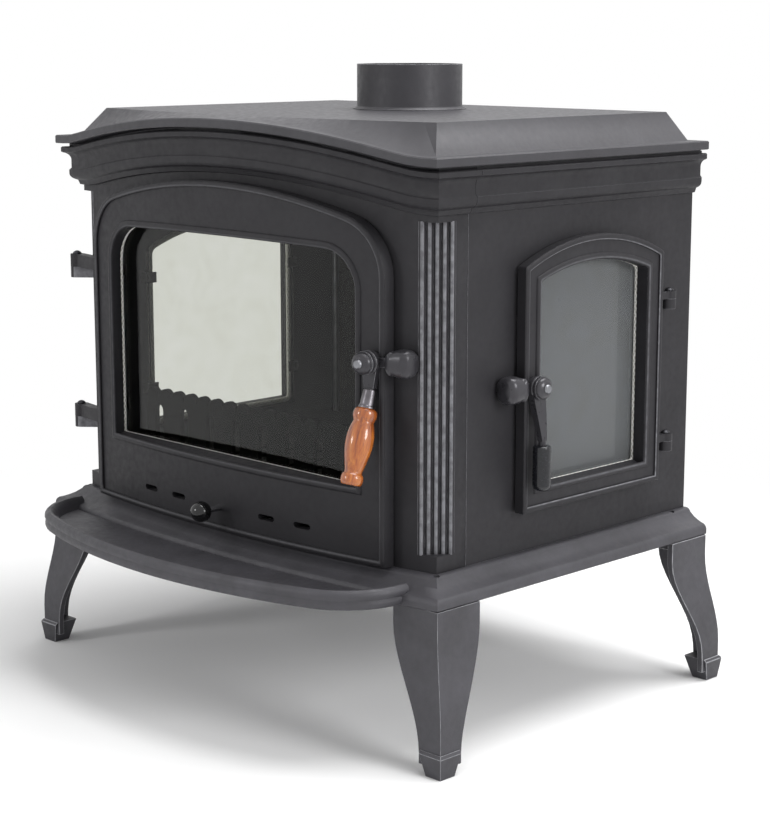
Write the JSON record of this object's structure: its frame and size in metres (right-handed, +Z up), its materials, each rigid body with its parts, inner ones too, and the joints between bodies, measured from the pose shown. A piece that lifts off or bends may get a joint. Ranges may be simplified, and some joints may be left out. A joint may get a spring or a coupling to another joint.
{
  "type": "wood burning stove",
  "caption": "Free-standing cast-iron wood stove with a bowed glazed front door under an eyebrow arch, a glazed side door, cabriole legs, ash lip and top flue collar",
  "frame": {"origin": "on the floor, under the middle of the whole stove's width and depth, from the front of the ash lip to the rear toes", "axes": "+X is to the right seen from the front, the bowed front door faces -Y and +Z is up"},
  "size_m": [0.847, 0.722, 0.873],
  "materials": {
    "cast": "matt graphite-black heat-resistant stove paint on sand-cast iron",
    "lid_cast": "matt graphite-grey stove paint, slightly polished on the flat top",
    "leg_cast": "grainy sand-cast iron under matt graphite-black paint",
    "catch_cast": "satin graphite-black paint, rubbed on its edges",
    "inner_cast": "bare dark cast iron",
    "bolt": "zinc-plated steel, dulled",
    "sheet": "dull mild-steel sheet",
    "ferrule": "satin grey turned steel",
    "glass": "clear ceramic stove glass",
    "rope": "white braided glass-fibre rope seal",
    "wood": "turned beech with glossy orange-brown varnish",
    "rod_chrome": "bright plated steel rod",
    "black_knob": "glossy black moulded knob",
    "black_grip": "glossy black moulded grip",
    "brick": "pale firebrick, soot-stained"
  },
  "bodies": {
    "stove": {"base_plate": "cast", "leg_front_left": "leg_cast", "leg_front_right": "leg_cast", "leg_rear_left": "leg_cast", "leg_rear_right": "leg_cast", "leg_bolts": "bolt", "ash_lip": "cast", "ash_lip_bolts": "bolt", "front_frame": "cast", "right_panel": "cast", "left_panel": "cast", "rear_panel": "cast", "cornice_front": "cast", "cornice_right": "cast", "cornice_left": "cast", "top_plate": "lid_cast", "flue_collar": "cast", "collar_bolts": "bolt", "tie_rods": "bolt", "front_hinge_pins": "cast", "side_hinge_pins": "cast", "front_catch": "catch_cast", "front_catch_screws": "bolt", "side_catch": "catch_cast", "side_catch_screws": "bolt", "left_glass": "glass", "left_glass_rope": "rope", "left_glass_clips": "bolt", "hearth_plate": "inner_cast", "grate": "inner_cast", "grate_runners": "inner_cast", "ash_pan": "sheet", "log_guard": "inner_cast", "fireback": "brick", "fireback_bolt": "bolt", "baffle": "brick", "baffle_ledges": "inner_cast"},
    "front_door_leaf": {"front_door": "cast", "front_glass": "glass", "front_glass_rope": "rope", "front_glass_clips": "bolt", "front_door_rope": "rope", "front_latch_spindle": "bolt"},
    "front_latch": {"front_latch_lever": "catch_cast", "front_ferrule": "ferrule", "front_grip": "wood"},
    "air_control": {"air_plate": "sheet", "air_rod": "rod_chrome", "air_knob": "black_knob"},
    "side_door_leaf": {"side_door": "cast", "side_glass": "glass", "side_glass_rope": "rope", "side_glass_clips": "bolt", "side_door_rope": "rope", "side_latch_spindle": "bolt"},
    "side_latch": {"side_latch_lever": "catch_cast", "side_grip": "black_grip"}
  },
  "joints": [
    {"name": "front_door_hinge", "type": "hinge", "parent": "stove", "child": "front_door_leaf", "pos_m": [-0.364, -0.185, 0.476], "axis": [0, 0, -1], "range_deg": [0, 110]},
    {"name": "front_latch_turn", "type": "hinge", "parent": "front_door_leaf", "child": "front_latch", "pos_m": [0.28234, -0.21548, 0.513], "axis": [-0.1446, 0.9895, 0], "range_deg": [0, 90]},
    {"name": "air_slide", "type": "slide", "parent": "front_door_leaf", "child": "air_control", "axis": [0, -1, 0], "range_m": [0, 0.018]},
    {"name": "side_door_hinge", "type": "hinge", "parent": "stove", "child": "side_door_leaf", "pos_m": [0.373, 0.2785, 0.456], "axis": [0, 0, 1], "range_deg": [0, 110]},
    {"name": "side_latch_turn", "type": "hinge", "parent": "side_door_leaf", "child": "side_latch", "pos_m": [0.39, -0.0115, 0.468], "axis": [1, 0, 0], "range_deg": [0, 90]}
  ]
}
